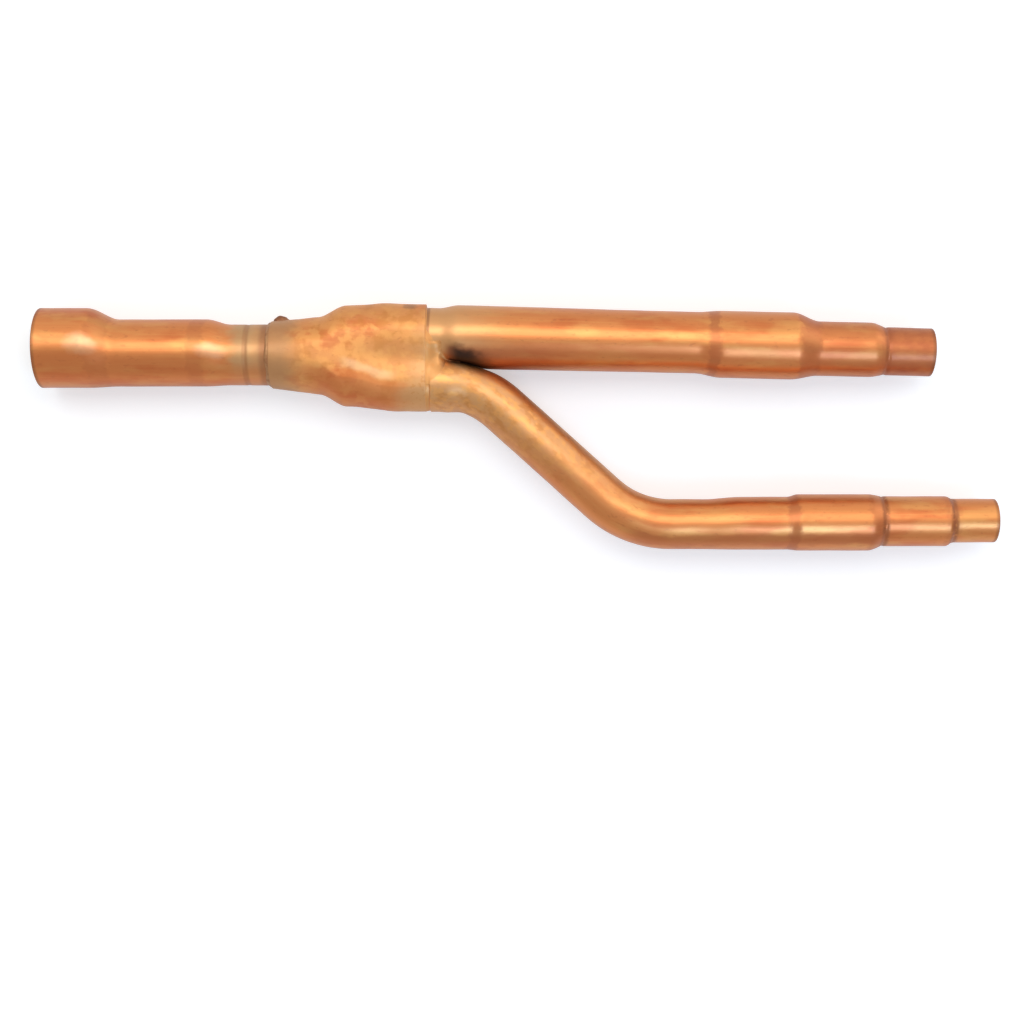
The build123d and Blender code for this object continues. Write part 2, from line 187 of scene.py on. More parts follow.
def over_steps(along, steps, name):
    """A step's value, such as its radius, which eases to the next one's over each shoulder."""
    value = np.full_like(along, getattr(steps[0], name))
    for before, behind in zip(steps, steps[1:]):
        rise = getattr(behind, name) - getattr(before, name)
        value += rise * eased((along - before.end) / (behind.start - before.end))
    return value


def bell_curve(place, centre, width):
    """e^(-((place - centre) / width)^2)."""
    return np.exp(-(((place - centre) / width) ** 2))


def waves(along, angle, seed, longest, shortest, turns):
    """Waviness between about -1 and 1: a sum of ten sines with seeded lengths, turns and phases."""
    draw = np.random.default_rng(seed)
    total = 0
    for _ in range(10):
        length = draw.uniform(shortest, longest)
        lobes = draw.integers(-turns, turns + 1)
        phase = draw.uniform(0, 2 * pi)
        total = total + np.sin(2 * pi * along / length + lobes * angle + phase)
    return total / 5


def rows_between(start, end, pitch, fine_places=()):
    """Row places at an even pitch, with rows four times as close near each fine place."""
    rows = [np.arange(start, end, pitch), [end]]
    for place in fine_places:
        rows.append(np.arange(max(start, place - 3), min(end, place + 3), pitch / 4))
    places = np.unique(np.round(np.concatenate(rows), 3))
    keep = np.concatenate([[True], np.diff(places) > pitch / 8])
    return places[keep]


def wall_loop(start, end, pitch, fine_places=()):
    """Rows round a tube's wall, along the outside, over the far lip, back inside and over the near lip.

    Gives each row's place along the axis and its depth in the wall, 0 outside and 1 inside.
    A lip is half a superellipse: depth (1 - cos^p) / 2 and place LIP sin^p, with p the squareness.
    """
    outside = rows_between(start + LIP, end - LIP, pitch, fine_places)
    inside = rows_between(start + LIP, end - LIP, 2 * pitch, fine_places)[::-1]
    swing = np.linspace(0, pi, 11)[1:-1]
    depth = (1 - np.sign(np.cos(swing)) * np.abs(np.cos(swing)) ** LIP_SQUARENESS) / 2
    reach = LIP * np.sin(swing) ** LIP_SQUARENESS
    along = np.concatenate([outside, end - LIP + reach, inside, start + LIP - reach])
    zeros, ones = np.zeros(len(outside)), np.ones(len(inside))
    depths = np.concatenate([zeros, depth, ones, depth[::-1]])
    return along[:, None], depths[:, None]


def ring_angles(count):
    """Angles round a ring, as one row."""
    return np.linspace(0, 2 * pi, count, endpoint=False)[None, :]


def grid_of(*values):
    """Arrays that are spread to one shape and stacked as the last axis."""
    return np.stack(np.broadcast_arrays(*values), axis=-1)


Skin = namedtuple("Skin", "points places depth loops")


def skin_of(points, places=None, depth=0.0, loops=True):
    """A closed grid of points, with where each lies on its unbent tube and how deep in the wall."""
    places = points if places is None else places
    return Skin(points, places, np.broadcast_to(depth, points.shape[:2]), loops)


def make_piece(name, skins):
    """One object from skins whose columns close round.

    A skin's rows close on themselves, or its first and last rows are closed with a face each.
    """
    corners, sizes, first = [], [], 0
    for skin in skins:
        rows, columns = skin.points.shape[:2]
        index = first + np.arange(rows * columns).reshape(rows, columns)
        after_row = np.roll(index, -1, axis=0)
        if not skin.loops:
            index, after_row = index[:-1], after_row[:-1]
        beside, after_beside = np.roll(index, -1, axis=1), np.roll(after_row, -1, axis=1)
        corners.append(np.stack([index, beside, after_beside, after_row], axis=-1).ravel())
        sizes.append(np.full(index.size, 4))
        if not skin.loops:
            last = first + (rows - 1) * columns
            corners += [first + np.arange(columns)[::-1], last + np.arange(columns)]
            sizes.append(np.array([columns, columns]))
        first += rows * columns
    points = np.concatenate([skin.points.reshape(-1, 3) for skin in skins])
    piece = fill_mesh(name, points, np.concatenate(corners), np.concatenate(sizes))
    places = np.concatenate([skin.places.reshape(-1, 3) for skin in skins])
    depth = np.concatenate([skin.depth.ravel() for skin in skins])
    place_data = piece.data.attributes.new("place", "FLOAT_VECTOR", "POINT").data
    place_data.foreach_set("vector", places.astype(np.float32).ravel())
    depth_data = piece.data.attributes.new("depth", "FLOAT", "POINT").data
    depth_data.foreach_set("value", depth.astype(np.float32))
    return piece


def fill_mesh(name, points, corners, sizes):
    """A smooth object from points in millimetres, the faces' corners and each face's corner count."""
    mesh = bpy.data.meshes.new(name)
    mesh.vertices.add(len(points))
    mesh.vertices.foreach_set("co", (points * MM).astype(np.float32).ravel())
    mesh.loops.add(len(corners))
    mesh.loops.foreach_set("vertex_index", corners.astype(np.int32))
    mesh.polygons.add(len(sizes))
    starts = np.concatenate([[0], np.cumsum(sizes)[:-1]])
    mesh.polygons.foreach_set("loop_start", starts.astype(np.int32))
    mesh.polygons.foreach_set("use_smooth", np.ones(len(sizes), bool))
    mesh.update(calc_edges=True)
    piece = bpy.data.objects.new(name, mesh)
    bpy.context.scene.collection.objects.link(piece)
    return piece


def around_line(centre_x, centre_y, heading, radius, angle):
    """Rings square to a level centre line: centre + radius (cos angle aside + sin angle upward)."""
    aside = radius * np.cos(angle)
    x = centre_x - np.sin(heading) * aside
    y = centre_y + np.cos(heading) * aside
    return grid_of(x, y, radius * np.sin(angle))


def smooth_above(value, limit, softness):
    """The larger of value and limit, rounded where they cross: (v + l + sqrt((v - l)^2 + s^2)) / 2."""
    return (value + limit + np.sqrt((value - limit) ** 2 + softness**2)) / 2


def pinch_line(x):
    """Y of the pinch: level up to PINCH_X, then an arc that falls away, then level again."""
    past = np.clip(x - PINCH_X, 0, PINCH_REACH)
    return PINCH_Y - PINCH_RADIUS + np.sqrt(PINCH_RADIUS**2 - past**2)


def tube_places(along, radius, angle):
    """Where the points of a tube lie if it were straight: along, aside and upward."""
    return grid_of(along, radius * np.cos(angle), radius * np.sin(angle))


def stub_skin():
    """The stub's wall: a radius and a side offset that ease over the shoulders, less the waviness."""
    along, depth = wall_loop(bell.start, small_socket.end, 0.8, [bell.start, HEAT_LINE])
    angle = ring_angles(160)
    radius = over_steps(along, STUB_STEPS, "radius") - TUBE_WALL * depth
    side = over_steps(along, STUB_STEPS, "side")
    dents = 0.06 * (1 + waves(along, angle, 11, 70, 16, 3)) * eased(along / 6)
    heat_line = 0.15 * bell_curve(along, HEAT_LINE, 0.8)
    points = around_line(along, side, 0.0, radius - dents - heat_line, angle)
    return skin_of(points, tube_places(along, radius, angle), depth)


def run_place(along, side):
    """World X and Y of a place given along and beside the run tube's leaning axis."""
    x = MOUTH_X + along * cos(RUN_LEAN) + side * sin(RUN_LEAN)
    y = RUN_Y - along * sin(RUN_LEAN) + side * cos(RUN_LEAN)
    return x, y


def run_skin():
    """The run tube's wall, cut short on its branch side by the pinch line."""
    along, depth = wall_loop(run_neck.start, run_last.end, 0.9, [run_neck.end + 6, RUN_GROOVE, run_last.end])
    angle = ring_angles(160)
    radius = over_steps(along, RUN_STEPS, "radius") - TUBE_WALL * depth
    side = over_steps(along, RUN_STEPS, "side")
    dents = 0.06 * (1 + waves(along, angle, 23, 90, 18, 3))
    dents = dents + GROOVE_DEPTH * bell_curve(along, RUN_GROOVE, GROOVE_WIDTH)
    centre_x, centre_y = run_place(along, side)
    points = around_line(centre_x, centre_y, -RUN_LEAN, radius - dents, angle)
    limit = pinch_line(points[..., 0]) + PINCH_GAP / 2 + TUBE_WALL * depth
    points[..., 1] = smooth_above(points[..., 1], limit, 0.5)
    return skin_of(points, tube_places(along, radius, angle), depth)


def running_sum(slope, places):
    """The sum of a slope over even places, from 0 at the first one."""
    step = places[1] - places[0]
    return np.concatenate([[0], np.cumsum((slope[1:] + slope[:-1]) / 2) * step])


def branch_line(along):
    """X, Y and heading of the branch's centre line.

    The heading turns evenly over each bend, and the line is the running sum of its heading.
    """
    fine = np.linspace(0, branch_last.end, 8001)
    turned_in = np.clip((fine - bend_in) / bend_arc, 0, 1)
    turned_back = np.clip((fine - bend_back) / bend_arc, 0, 1)
    heading = BEND_ANGLE * (turned_back - turned_in)
    x = MOUTH_X - OUTLET_SEAT + np.interp(along, fine, running_sum(np.cos(heading), fine))
    y = BRANCH_Y + np.interp(along, fine, running_sum(np.sin(heading), fine))
    return x, y, np.interp(along, fine, heading)


def branch_skin():
    """The branch tube's wall along its bent centre line, cut short on its run side by the pinch."""
    fine_places = [OUTLET_SEAT + 1.5, MIDDLE_GROOVE, LAST_GROOVE, branch_last.end]
    along, depth = wall_loop(branch_neck.start, branch_last.end, 0.9, fine_places)
    angle = ring_angles(144)
    radius = over_steps(along, BRANCH_STEPS, "radius") - TUBE_WALL * depth
    dents = 0.07 * (1 + waves(along, angle, 37, 80, 16, 3))
    dents = dents + GROOVE_DEPTH * bell_curve(along, MIDDLE_GROOVE, GROOVE_WIDTH)
    dents = dents + GROOVE_DEPTH * bell_curve(along, LAST_GROOVE, GROOVE_WIDTH)
    centre_x, centre_y, heading = branch_line(along)
    centre_y = centre_y + over_steps(along, BRANCH_STEPS, "side")
    points = around_line(centre_x, centre_y, heading, radius - dents, angle)
    limit = -pinch_line(points[..., 0]) + PINCH_GAP / 2 + TUBE_WALL * depth
    points[..., 1] = -smooth_above(-points[..., 1], limit, 0.5)
    return skin_of(points, tube_places(along, radius, angle), depth)


def lobed_rings(x, run_y, run_r, branch_y, branch_r, waist, angle):
    """Sections square to X with a run lobe and a branch lobe, drawn by the direction of their normal.

    Each lobe is an arc about its own centre. Over the crown between them centre and radius glide
    from one lobe to the other by (3g - g^3) / 2, and the waist dips the crown.
    """
    spacing = np.maximum(run_y - branch_y, 1e-6)
    tilt = (branch_r - run_r) / spacing * (run_y > branch_y)
    angle = angle + CROWN_DENSITY * np.sin(2 * angle) / 2
    glide = np.clip((np.cos(angle) - tilt) / CROWN_SHARE, -1, 1)
    lean = (3 * glide - glide**3) / 2
    radius = blend(branch_r, run_r, (1 + lean) / 2)
    centre = blend(branch_y, run_y, (1 + lean) / 2)
    dip = 1 - waist * (1 - lean**2) ** 4
    return grid_of(x, centre + radius * np.cos(angle), radius * np.sin(angle) * dip)


def through_body(x, rim, collar, chamber, seat, mouth):
    """A value along the body: straight in the collar and the outlet seat, eased over the chamber."""
    collar_end = COLLAR_X + COLLAR_LENGTH
    chamber_x = collar_end + SHOULDER_LENGTH
    seat_x = MOUTH_X - OUTLET_SEAT
    value = blend(rim, collar, np.clip((x - COLLAR_X) / COLLAR_LENGTH, 0, 1))
    value = value + (chamber - collar) * eased((x - collar_end) / SHOULDER_LENGTH)
    value = value + (seat - chamber) * eased((x - chamber_x) / (seat_x - chamber_x))
    return value + (mouth - seat) * np.clip((x - seat_x) / OUTLET_SEAT, 0, 1)


def body_skin():
    """The body's wall: round collar, flattened chamber and lobed mouth, dented inward all over."""
    x, depth = wall_loop(COLLAR_X, MOUTH_X, 0.6)
    angle = ring_angles(240)
    collar_r = COLLAR_RADIUS + COLLAR_FLARE
    run_seat_y = RUN_Y + OUTLET_SEAT * tan(RUN_LEAN)
    run_lobe = [CHAMBER_RUN_RADIUS, RUN_LOBE_RADIUS, RUN_LOBE_RADIUS]
    branch_lobe = [CHAMBER_BRANCH_RADIUS, BRANCH_LOBE_RADIUS, BRANCH_LOBE_RADIUS]
    collar_low = COLLAR_Y - COLLAR_SWELL - COLLAR_SAG
    run_r = through_body(x, COLLAR_RADIUS, collar_r, *run_lobe)
    branch_r = through_body(x, COLLAR_RADIUS, collar_r, *branch_lobe)
    run_y = through_body(x, COLLAR_Y, COLLAR_Y + COLLAR_SWELL, CHAMBER_RUN_Y, run_seat_y, RUN_Y)
    branch_y = through_body(x, COLLAR_Y, collar_low, CHAMBER_BRANCH_Y, BRANCH_Y, BRANCH_Y)
    waist = WAIST_DIP * eased((x - WAIST_START) / WAIST_LENGTH)
    wall = blend(RIM_WALL, BODY_WALL, np.clip((x - COLLAR_X) / COLLAR_LENGTH, 0, 1))
    hammered = HAMMERING * (1 + waves(x, angle, 51, 40, 11, 5)) * eased((x - COLLAR_X) / 20)
    inset = wall * depth + hammered
    points = lobed_rings(x, run_y, run_r - inset, branch_y, branch_r - inset, waist, angle)
    return skin_of(points, depth=depth)


def inlet_braze_skins():
    """A bead round the stub at the collar, uneven along it, and the drip that ran out over it."""
    swing = np.linspace(0, 2 * pi, 20, endpoint=False)[:, None]
    angle = ring_angles(180)
    uneven = 1 + 0.45 * waves(0.0 * swing, angle, 71, 40, 10, 9)
    radius = small_socket.radius + 0.1 + 0.9 * np.sin(swing) + 0.15 * waves(swing, angle, 72, 9, 3, 8)
    x = COLLAR_X - 0.3 + 1.3 * uneven * np.cos(swing)
    bead = around_line(x, COLLAR_Y, 0.0, radius, angle)[::-1]
    swing = np.linspace(0, pi, 26)[1:-1][:, None]
    angle = ring_angles(40)
    lumps = 1 - 0.08 * (1 + waves(6 * swing, angle, 73, 14, 5, 4))
    lumps_out = lumps * np.sin(swing)
    drip_x = COLLAR_X + DRIP_X - DRIP_HALF_LENGTH * lumps * np.cos(swing)
    drip_y = COLLAR_Y + small_socket.radius + RIM_WALL + DRIP_REACH * lumps_out * np.cos(angle)
    drip_z = DRIP_HALF_HEIGHT * lumps_out * np.sin(angle)
    return [skin_of(bead), skin_of(grid_of(drip_x, drip_y, drip_z), loops=False)]


def tube_heights(x, y):
    """Heights of the run tube and the branch tube over points near the crotch, 0 beside them."""
    along = (x - MOUTH_X) * cos(RUN_LEAN) - (y - RUN_Y) * sin(RUN_LEAN)
    beside = (x - MOUTH_X) * sin(RUN_LEAN) + (y - RUN_Y) * cos(RUN_LEAN)
    run_r = over_steps(along, RUN_STEPS, "radius")
    run_height = np.sqrt(np.maximum(run_r**2 - beside**2, 0))
    from_seat = x - MOUTH_X + OUTLET_SEAT + 0 * y
    branch_r = over_steps(from_seat, BRANCH_STEPS, "radius")
    past = np.maximum(x - PINCH_X, 0)
    side = over_steps(from_seat, BRANCH_STEPS, "side")
    beside = np.hypot(past, y - BRANCH_Y + BEND_RADIUS) - BEND_RADIUS - side
    branch_height = np.sqrt(np.maximum(branch_r**2 - beside**2, 0))
    return run_height, branch_height


def body_height(y):
    """Height of the body's mouth over Y, read along the upper half of its lobed section."""
    upper = np.linspace(0, pi, 400)[None, :]
    lobes = (RUN_Y, RUN_LOBE_RADIUS, BRANCH_Y, BRANCH_LOBE_RADIUS)
    ring = lobed_rings(MOUTH_X, *lobes, WAIST_DIP, upper)[0]
    return np.interp(y, ring[::-1, 1], ring[::-1, 2])


def crotch_skin():
    """Braze metal over the crown of the mouth, which fills the valley between the two necks.

    Its face is the rounded larger of the necks' heights and a fill level, which sinks by the
    square of the distance from the pinch and drops away where the necks part. Toward the mouth
    it rises to the body's height by (1 + cos) / 2. Its back and its edges lie under the copper.
    """
    x = np.linspace(MOUTH_X - FILLET_START, MOUTH_X + CROTCH_END, 110)[:, None]
    across = np.linspace(-CROTCH_HALF_WIDTH, CROTCH_HALF_WIDTH, 104)[None, :]
    y = pinch_line(x) + across
    run_height, branch_height = tube_heights(x, y)
    hard = np.maximum(run_height, branch_height)
    ragged = waves(x, across / 4, 83, 14, 7, 2)
    drop = eased((x + ragged - MOUTH_X - FILL_REACH) / FILL_FALL_LENGTH)
    level = FILL_HEIGHT - FILL_SAG * across**2 + 0.2 * ragged - FILL_FALL * drop
    filled = smooth_above(hard, level, 2.2) - FILM_DEPTH - 1.5 * drop
    length = blend(FILLET_LENGTH, THIN_LENGTH, eased((across - 7) / 4))
    rise = (1 + np.cos(pi * np.clip((x - MOUTH_X + FILLET_START) / length, 0, 1))) / 2
    face = blend(filled, body_height(y) - 0.3, rise)
    back = np.maximum(hard - BACK_DEPTH, 0.8)
    face = np.maximum(face, back + 0.3)
    there_and_back = np.concatenate([y, y[:, ::-1]], axis=1)
    return grid_of(x, there_and_back, np.concatenate([face, back[:, ::-1]], axis=1))


def mouth_bead_skin():
    """A fillet round both necks at the body's mouth, thin beyond the run and full on the branch.

    From the mouth it sinks to the neck by (1 + cos) / 2, and its back lies under the copper.
    """
    angle = ring_angles(240)
    fullness = eased((0.25 - np.cos(angle)) / 0.35)
    outward = np.linspace(0, 1, 16)
    share = np.concatenate([outward, [1, 0]])[:, None]
    height = np.concatenate([(1 + np.cos(pi * outward)) / 2, [0, 0]])[:, None]
    sunk = np.concatenate([0.12 * outward, [0.4, 0.4]])[:, None]
    x = MOUTH_X - FILLET_START + share * blend(THIN_LENGTH, FILLET_LENGTH, fullness)
    lift = height * blend(THIN_HEIGHT, FILLET_HEIGHT, fullness) - sunk
    run_r, branch_r = RUN_NECK_RADIUS + lift, BRANCH_RADIUS + lift
    return lobed_rings(x, RUN_Y, run_r, BRANCH_Y, branch_r, WAIST_DIP + 0.2 * share, angle)


def outlet_braze_skins():
    """The crotch metal above and below, and the fillet round the mouth."""
    upper = crotch_skin()
    lower = upper * np.array([1, 1, -1])
    crotch = [skin_of(upper[::-1], loops=False), skin_of(lower, loops=False)]
    return crotch + [skin_of(mouth_bead_skin())]


class Field:
    """One output of a material's nodes. Sums, products and powers of it add Math nodes."""

    def __init__(self, tree, socket=None):
        self.tree = tree
        self.socket = socket

    def node(self, kind, settings, values, output=0):
        """Adds a node, its settings first and then a value or a link for each named input."""
        made = self.tree.nodes.new(kind)
        for name, setting in settings.items():
            setattr(made, name, setting)
        for name, value in values.items():
            if isinstance(value, Field):
                self.tree.links.new(value.socket, made.inputs[name])
            else:
                made.inputs[name].default_value = value
        return Field(self.tree, made.outputs[output] if made.outputs else None)

    def beside(self, output):
        """Another output of the same node."""
        return Field(self.tree, self.socket.node.outputs[output])

    def reckon(self, operation, first, second):
        """A Math node on two values or fields."""
        return self.node("ShaderNodeMath", {"operation": operation}, {0: first, 1: second})

    def __add__(self, other):
        return self.reckon("ADD", self, other)

    def __radd__(self, other):
        return self.reckon("ADD", other, self)

    def __sub__(self, other):
        return self.reckon("SUBTRACT", self, other)

    def __rsub__(self, other):
        return self.reckon("SUBTRACT", other, self)

    def __mul__(self, other):
        return self.reckon("MULTIPLY", self, other)

    def __rmul__(self, other):
        return self.reckon("MULTIPLY", other, self)

    def __pow__(self, other):
        return self.reckon("POWER", self, other)

    def __abs__(self):
        return self.reckon("ABSOLUTE", self, 0)

    def between(self, low, high):
        """0 at low and 1 at high, eased between them and held beyond. Low may be the larger."""
        values = {"Value": self, "From Min": low, "From Max": high}
        return self.node("ShaderNodeMapRange", {"interpolation_type": "SMOOTHSTEP"}, values)

    def near(self, centre, half_width, edge):
        """1 within half a width of the centre, fading to 0 over the edge."""
        return abs(self - centre).between(half_width + edge, half_width)


Layer = namedtuple("Layer", "share colour roughness metal")


class Surface(Field):
    """The start of a material: places on the piece, patterns and the layers of its finish.

    A tube's places are along it, aside of its axis and up from its axis, as if it were straight.
    The body's and the braze's are X, Y and Z. All are in millimetres.
    """

    def __init__(self, name):
        self.material = bpy.data.materials.new(name)
        self.material.use_nodes = True
        self.material.node_tree.nodes.clear()
        super().__init__(self.material.node_tree)
        self.place = self.node("ShaderNodeAttribute", {"attribute_name": "place"}, {}, "Vector")
        self.depth = self.node("ShaderNodeAttribute", {"attribute_name": "depth"}, {}, "Fac")
        self.along = self.node("ShaderNodeSeparateXYZ", {}, {"Vector": self.place}, "X")
        self.aside = self.along.beside("Y")
        self.upward = self.along.beside("Z")

    def noise(self, size, stretch=1.0, detail=3.0, shift=0.0):
        """A pattern around 0.5, size in millimetres across and stretch times as long along the tube."""
        scale = (1 / (size * stretch), 1 / size, 1 / size)
        turned = {"Vector": self.place, "Scale": scale, "Location": (shift, shift, shift)}
        vector = self.node("ShaderNodeMapping", {}, turned)
        return self.node("ShaderNodeTexNoise", {}, {"Vector": vector, "Scale": 1.0, "Detail": detail})

    def patch(self, along, aside, half_length, half_width, ragged=0.5):
        """A soft oval on the upper side: from 1 at its centre to 0 where the squared shares pass 1."""
        lengthwise = ((self.along - along) * (1 / half_length)) ** 2
        crosswise = ((self.aside - aside) * (1 / half_width)) ** 2
        reach = lengthwise + crosswise + (ragged - 0.5) * 1.2
        return reach.between(1.3, -0.1) * self.upward.between(0, 3)

    def mixed(self, share, first, second):
        """Two colours mixed by a share."""
        return self.node("ShaderNodeMix", {"data_type": "RGBA"}, {0: share, 6: first, 7: second}, 2)

    def finished(self, colour, roughness, layers, height):
        """The material: each layer covers the ones before by its share, and the height is a bump."""
        metal = 1.0
        for layer in layers:
            colour = self.mixed(layer.share, colour, layer.colour)
            roughness = roughness + layer.share * (layer.roughness - roughness)
            if layer.metal < 1:
                metal = metal + layer.share * (layer.metal - metal)
        normal = self.node("ShaderNodeBump", {}, {"Strength": 0.7, "Distance": MM, "Height": height})
        values = {"Base Color": colour, "Roughness": roughness, "Metallic": metal, "Normal": normal}
        values.update({"Coat Weight": 0.35, "Coat Roughness": 0.25, "Coat IOR": 1.5})
        shader = self.node("ShaderNodeBsdfPrincipled", {}, values)
        self.node("ShaderNodeOutputMaterial", {}, {"Surface": shader})
        return self.material


BRIGHT_COPPER = (0.80, 0.28, 0.085, 1)
RED_COPPER = (0.68, 0.175, 0.05, 1)
YELLOW_COPPER = (0.86, 0.40, 0.12, 1)
BODY_COPPER = (0.80, 0.345, 0.11, 1)
# Pale copper, painted where highlights fall.
PAINTED_HIGHLIGHT_COPPER = (0.96, 0.72, 0.46, 1)
# Reddish oxide, also painted as red-brown shade on the tubes' lower flanks.
RED_OXIDE_AND_SHADE = (0.52, 0.15, 0.055, 1)
# Brown oxide, also painted as shade deep in the crotch braze.
BROWN_OXIDE_AND_SHADE = (0.30, 0.115, 0.05, 1)
# Near-black, painted as shade in the valley between the run and the branch.
PAINTED_SHADE_BLACK = (0.045, 0.018, 0.009, 1)
OLIVE_TINT = (0.50, 0.33, 0.16, 1)
TAN_TINT = (0.76, 0.42, 0.175, 1)
SCORCH = (0.56, 0.29, 0.125, 1)
BRAZE_TAN = (0.74, 0.35, 0.115, 1)
BRAZE_BROWN = (0.52, 0.27, 0.12, 1)
GROOVE_BROWN = (0.36, 0.12, 0.045, 1)
DEEP_ORANGE = (0.64, 0.24, 0.05, 1)
INSIDE_BROWN = (0.30, 0.11, 0.05, 1)


def copper_colour(surface, ground):
    """Bright copper, cloudy between redder and yellower tones, with long draw streaks and flecks."""
    red = surface.noise(13, 2.5, 4).between(0.47, 0.66) * 0.75
    yellow = surface.noise(9, 3, 4, 17.0).between(0.48, 0.66) * 0.6
    streak = surface.noise(1.1, 40, 2, 7.0).between(0.45, 0.75) * 0.25
    fleck = surface.noise(1.8, 2, 5, 3.0).between(0.58, 0.72) * 0.35
    colour = surface.mixed(red, ground, RED_COPPER)
    colour = surface.mixed(yellow, colour, YELLOW_COPPER)
    colour = surface.mixed(streak, colour, YELLOW_COPPER)
    return surface.mixed(fleck, colour, RED_OXIDE_AND_SHADE)


def copper_roughness(surface, low):
    """Satin, with duller clouds and streaks."""
    return low + 0.12 * surface.noise(9, 4, 3, 11.0) + 0.06 * surface.noise(0.9, 30, 2, 5.0)


def drawn_height(surface):
    """Fine draw lines and small pits, in millimetres."""
    lines = surface.noise(0.7, 60, 2, 2.0) * 0.012
    pits = surface.noise(1.6, 1.5, 4, 9.0) * 0.025
    return lines + pits


def worked_bands(surface, bands):
    """Reddish bands with ragged edges where the tube was worked.

    A band is given by its place, its half width and its share.
    """
    ragged = surface.noise(3.5, 1, 4, 13.0)
    shifted = surface.along + (ragged - 0.5) * 7
    layers = []
    for place, half_width, share in bands:
        layers.append(Layer(shifted.near(place, half_width, 2.5) * share, RED_OXIDE_AND_SHADE, 0.42, 1.0))
    return layers


def dirty_grooves(surface, grooves):
    """Brown dirt in the rolled grooves."""
    dirt = surface.noise(2.0, 1, 4, 19.0).between(0.2, 0.5)
    layers = []
    for groove in grooves:
        layers.append(Layer(surface.along.near(groove, 0.9, 1.8) * dirt * 0.75, GROOVE_BROWN, 0.5, 1.0))
    return layers


def dark_lip(surface, end):
    """Oxide and dirt on the last millimetres at an open end."""
    return Layer(surface.along.near(end, 0.7, 1.6) * 0.6, BROWN_OXIDE_AND_SHADE, 0.5, 1.0)


def dull_inside(surface):
    """The unpolished bore, from the lip inward."""
    return Layer(surface.depth.between(0.55, 1.0), INSIDE_BROWN, 0.5, 1.0)


def stub_finish():
    """The stub's copper, tanned by the torch toward the collar, with painted shade in red on its lower side
    and painted highlights, pale and smoother, at two places.
    """
    surface = Surface("stub_copper")
    ragged = surface.noise(4, 1.5, 4, 21.0)
    upper = surface.aside.between(-11, -2)
    torched = (surface.along + (ragged - 0.5) * 16).between(90, 106)
    olive = (surface.along + (ragged - 0.5) * 5).near(103.0, 1.5, 7.0) * (0.1 + 0.4 * upper)
    scorched = (surface.along + (ragged - 0.5) * 6).between(106, 114) * (0.3 + 0.6 * upper)
    layers = worked_bands(surface, [(31.0, 4.0, 0.3), (80.0, 2.5, 0.3)]) + [
        # Painted shade: redder on the lower side, which faces away from the light.
        Layer((surface.aside + (ragged - 0.5) * 4).between(-1, -6) * 0.35, RED_COPPER, 0.36, 1.0),
        Layer(torched * (0.2 + 0.6 * upper), TAN_TINT, 0.44, 1.0),
        Layer(olive, OLIVE_TINT, 0.45, 0.9),
        Layer(scorched, SCORCH, 0.48, 0.95),
        Layer(surface.along.near(HEAT_LINE, 0.7, 1.4) * 0.4, GROOVE_BROWN, 0.5, 1.0),
        Layer(surface.along.near(COLLAR_X - 1.9, 1.0, 3.0) * 0.5, GROOVE_BROWN, 0.5, 1.0),
        # Painted highlight: a pale, smoother patch where the highlight falls on the bell.
        Layer(surface.patch(24.0, 0.5, 9, 6.0, ragged) * 0.35, PAINTED_HIGHLIGHT_COPPER, 0.30, 1.0),
        dark_lip(surface, bell.start),
        # Painted highlight: a pale, smoother patch at the shoulder after the middle socket.
        Layer(surface.patch(88.0, 0.0, 9, 4.5, ragged) * 0.3, PAINTED_HIGHLIGHT_COPPER, 0.28, 1.0),
        dull_inside(surface),
    ]
    colour = copper_colour(surface, BRIGHT_COPPER)
    return surface.finished(colour, copper_roughness(surface, 0.28), layers, drawn_height(surface))


def run_finish():
    """The run tube's copper, tanned at its neck and banded at its steps, with painted shade: near-black in
    the crotch and red along its lower flank past it.
    """
    surface = Surface("run_copper")
    ragged = surface.noise(4, 1.5, 4, 31.0)
    torched = (surface.along + (ragged - 0.5) * 14).between(48, 8)
    crotch = surface.aside + (surface.along - 12) * 0.22 + (ragged - 0.5) * 5
    lower = (surface.aside + (ragged - 0.5) * 3).between(-4.0, -8.0)
    # Painted shade: red-brown on the lower flank past the crotch, where the run faces the branch.
    shaded = (surface.along + (ragged - 0.5) * 10).between(90, 20) * surface.along.between(8, 13)
    # Painted shade: near-black on the run's wall of the valley at the crotch, where shade falls between the
    # tubes.
    painted_crotch_shade = (surface.along + (ragged - 0.5) * 6).between(40, 20) * surface.along.between(8, 17)
    # Painted shade: a red streak along the run's lower flank, from 30 mm past the mouth to the end.
    painted_flank_shade = (surface.aside + (ragged - 0.5) * 3).near(-6.5, 1.5, 2.5)
    painted_flank_shade = painted_flank_shade * surface.along.between(30, 60)
    oxidised = surface.along.between(run_middle.start - 4, run_middle.start) * 0.3
    oxidised = oxidised + surface.along.between(run_last.start - 3, run_last.start) * 0.5
    bands = [(run_end.end + 8, 1.5, 0.6)]
    bands += [(run_big.end + 7.5, 4.0, 0.55), (run_last.start - 1, 2.0, 0.4)]
    layers = worked_bands(surface, bands) + dirty_grooves(surface, [RUN_GROOVE]) + [
        Layer(painted_flank_shade * 0.5, RED_COPPER, 0.34, 1.0),
        Layer(torched * 0.75, TAN_TINT, 0.40, 1.0),
        Layer(oxidised * (0.5 + ragged), RED_OXIDE_AND_SHADE, 0.48, 1.0),
        Layer(surface.along.near(0.9, 0.5, 0.8) * 0.6, BROWN_OXIDE_AND_SHADE, 0.5, 1.0),
        Layer(shaded * lower * 0.8, RED_OXIDE_AND_SHADE, 0.5, 1.0),
        Layer(painted_crotch_shade * crotch.between(-2.5, -8.0) * 0.97, PAINTED_SHADE_BLACK, 0.6, 1.0),
        dark_lip(surface, run_last.end),
        dull_inside(surface),
    ]
    colour = copper_colour(surface, BRIGHT_COPPER)
    return surface.finished(colour, copper_roughness(surface, 0.27), layers, drawn_height(surface))


